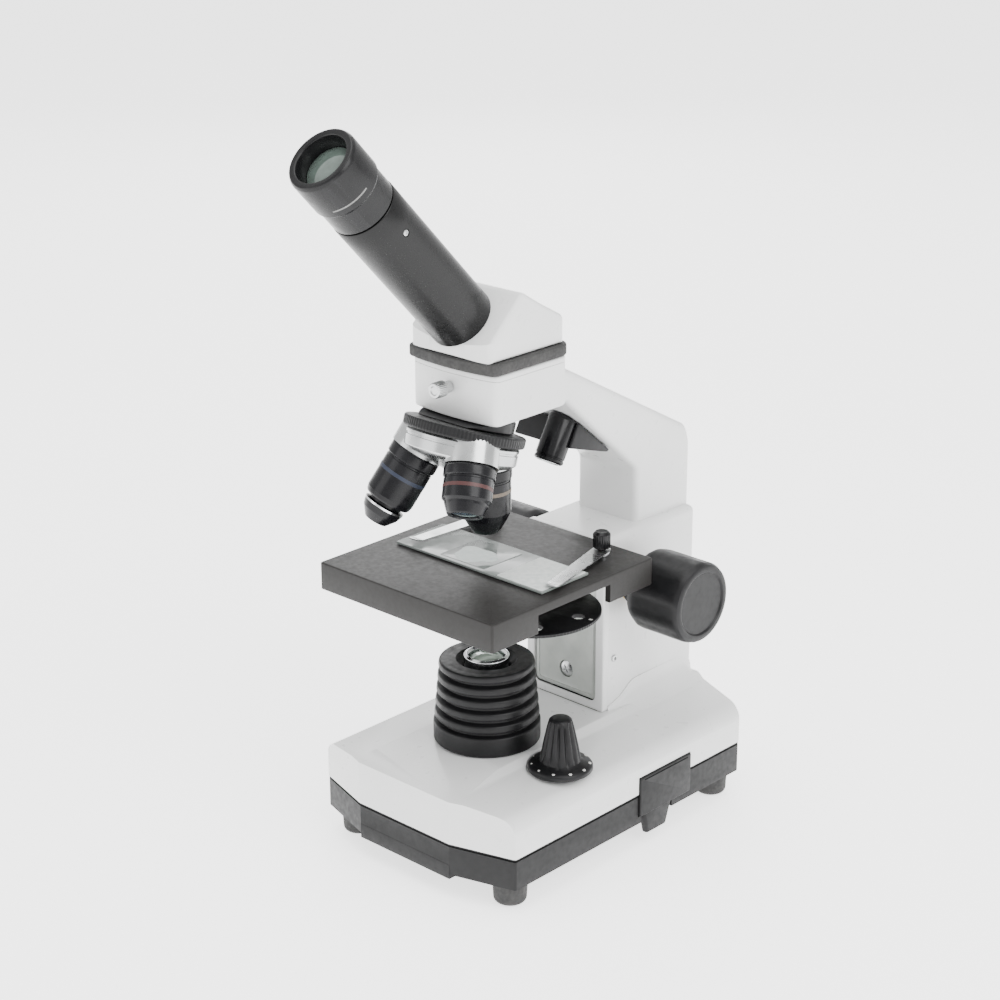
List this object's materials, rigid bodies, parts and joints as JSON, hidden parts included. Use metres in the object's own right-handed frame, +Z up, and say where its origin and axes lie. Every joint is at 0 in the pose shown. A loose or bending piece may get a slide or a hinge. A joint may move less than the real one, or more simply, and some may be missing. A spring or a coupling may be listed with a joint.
{
  "type": "microscope",
  "caption": "Student compound microscope with an inclined monocular head, a revolving nosepiece, a square stage with clips, a ribbed base lamp, an upper lamp and a side battery drawer.",
  "frame": {"origin": "on the table, under the middle of the bounding box at rest", "axes": "+Z up, -Y towards the user, +X to the user's right, where the battery drawer is"},
  "size_m": [0.112, 0.1906, 0.2924],
  "materials": {
    "white_paint": "satin white paint on cast metal",
    "black_plastic": "black moulded plastic, semi gloss",
    "black_paint": "satin black paint",
    "black_metal": "black anodised, semi gloss",
    "rubber": "matt black rubber",
    "chrome": "polished chrome plate",
    "steel": "plain machined steel",
    "grey_casting": "bare die-cast alloy",
    "brass": "turned brass",
    "glass": "clear polished glass",
    "circuit_board": "green lacquered board",
    "cell_wrap": "printed sleeve with no lettering"
  },
  "bodies": {
    "stand": {"base_shell": "white_paint", "base_pan": "black_plastic", "foot_front_left": "rubber", "foot_front_right": "rubber", "foot_rear_left": "rubber", "foot_rear_right": "rubber", "driver_board": "circuit_board", "illuminator_body": "black_plastic", "illuminator_lens_ring": "chrome", "illuminator_lens": "glass", "led_board": "circuit_board", "dimmer_potentiometer": "steel", "arm": "white_paint", "guide_rail_left": "steel", "guide_rail_right": "steel", "shaft_bush_left": "brass", "shaft_bush_right": "brass", "nosepiece_mount": "black_paint", "turret_screw": "steel", "upper_lamp_body": "black_plastic", "upper_lamp_lens": "glass", "upper_lamp_bracket": "black_plastic"},
    "head_lock": {"head_lock_screw": "chrome"},
    "head": {"head_gasket": "rubber", "head_housing": "white_paint", "prism": "glass", "eye_tube": "black_paint", "tube_set_screw": "steel"},
    "eyepiece": {"eyepiece_barrel": "black_plastic", "eye_lens": "glass", "field_lens": "glass"},
    "nosepiece": {"turret_ring": "black_plastic", "turret_plate": "chrome", "objective_4x": "black_metal", "objective_10x": "black_metal", "objective_40x": "black_metal", "front_lens_4x": "glass", "front_lens_10x": "glass"},
    "nose_40x": {"objective_40x_nose": "black_metal", "front_lens_40x": "glass"},
    "stage": {"carriage": "grey_casting", "rack": "brass", "carriage_screw": "steel", "stage_plate": "black_paint", "clip_screw_left": "black_plastic", "clip_screw_right": "black_plastic", "diaphragm_pivot": "chrome"},
    "clip_left": {"stage_clip_left": "steel"},
    "clip_right": {"stage_clip_right": "steel"},
    "slide": {"specimen_slide": "glass"},
    "diaphragm": {"diaphragm_disc": "black_plastic"},
    "focus": {"focus_shaft": "steel", "pinion": "brass", "focus_knob_left": "black_plastic", "focus_knob_right": "black_plastic"},
    "dimmer": {"dimmer_knob": "black_plastic", "dimmer_shaft": "steel"},
    "drawer": {"battery_drawer": "black_plastic", "battery_cell_1": "cell_wrap", "battery_cell_2": "cell_wrap"}
  },
  "joints": [
    {"name": "head_swivel", "type": "hinge", "parent": "stand", "child": "head", "pos_m": [0, -0.00786, 0.2007], "axis": [0, 0, 1], "continuous": true},
    {"name": "head_lock_turn", "type": "hinge", "parent": "stand", "child": "head_lock", "pos_m": [0, -0.02636, 0.191], "axis": [0, -1, 0], "range_deg": [0, 360]},
    {"name": "eyepiece_lift", "type": "slide", "parent": "head", "child": "eyepiece", "axis": [0, -0.6947, 0.7193], "range_m": [0, 0.022]},
    {"name": "nosepiece_turn", "type": "hinge", "parent": "stand", "child": "nosepiece", "pos_m": [0, -0.00786, 0.2045], "axis": [0, 0.3256, 0.9455], "continuous": true},
    {"name": "nose_40x_spring", "type": "slide", "parent": "nosepiece", "child": "nose_40x", "axis": [0.282, 0.4617, 0.841], "range_m": [0, 0.0015], "stiffness_N_per_m": 400},
    {"name": "stage_lift", "type": "slide", "parent": "stand", "child": "stage", "axis": [0, 0, 1], "range_m": [-0.012, 0.004]},
    {"name": "focus_turn", "type": "hinge", "parent": "stand", "child": "focus", "pos_m": [0, 0.05444, 0.0962], "axis": [1, 0, 0], "range_deg": [-48, 144]},
    {"name": "clip_left_swing", "type": "hinge", "parent": "stage", "child": "clip_left", "pos_m": [-0.0285, 0.02614, 0.1197], "axis": [0, 0, 1], "range_deg": [-65, 7]},
    {"name": "clip_right_swing", "type": "hinge", "parent": "stage", "child": "clip_right", "pos_m": [0.0285, 0.02614, 0.1197], "axis": [0, 0, 1], "range_deg": [-35, 50]},
    {"name": "slide_shift", "type": "slide", "parent": "stage", "child": "slide", "axis": [0, -1, 0], "range_m": [0, 0.025]},
    {"name": "diaphragm_turn", "type": "hinge", "parent": "stage", "child": "diaphragm", "pos_m": [0.019, -0.00286, 0.1014], "axis": [0, 0, 1], "continuous": true},
    {"name": "dimmer_turn", "type": "hinge", "parent": "stand", "child": "dimmer", "pos_m": [0.0365, -0.00586, 0.05], "axis": [0, 0, 1], "range_deg": [0, 270]},
    {"name": "drawer_slide", "type": "slide", "parent": "stand", "child": "drawer", "axis": [1, 0, 0], "range_m": [0, 0.045]}
  ],
  "couplings": [
    {"joint": "focus_turn", "follows": "stage_lift", "rad_per_m": -208.33}
  ]
}
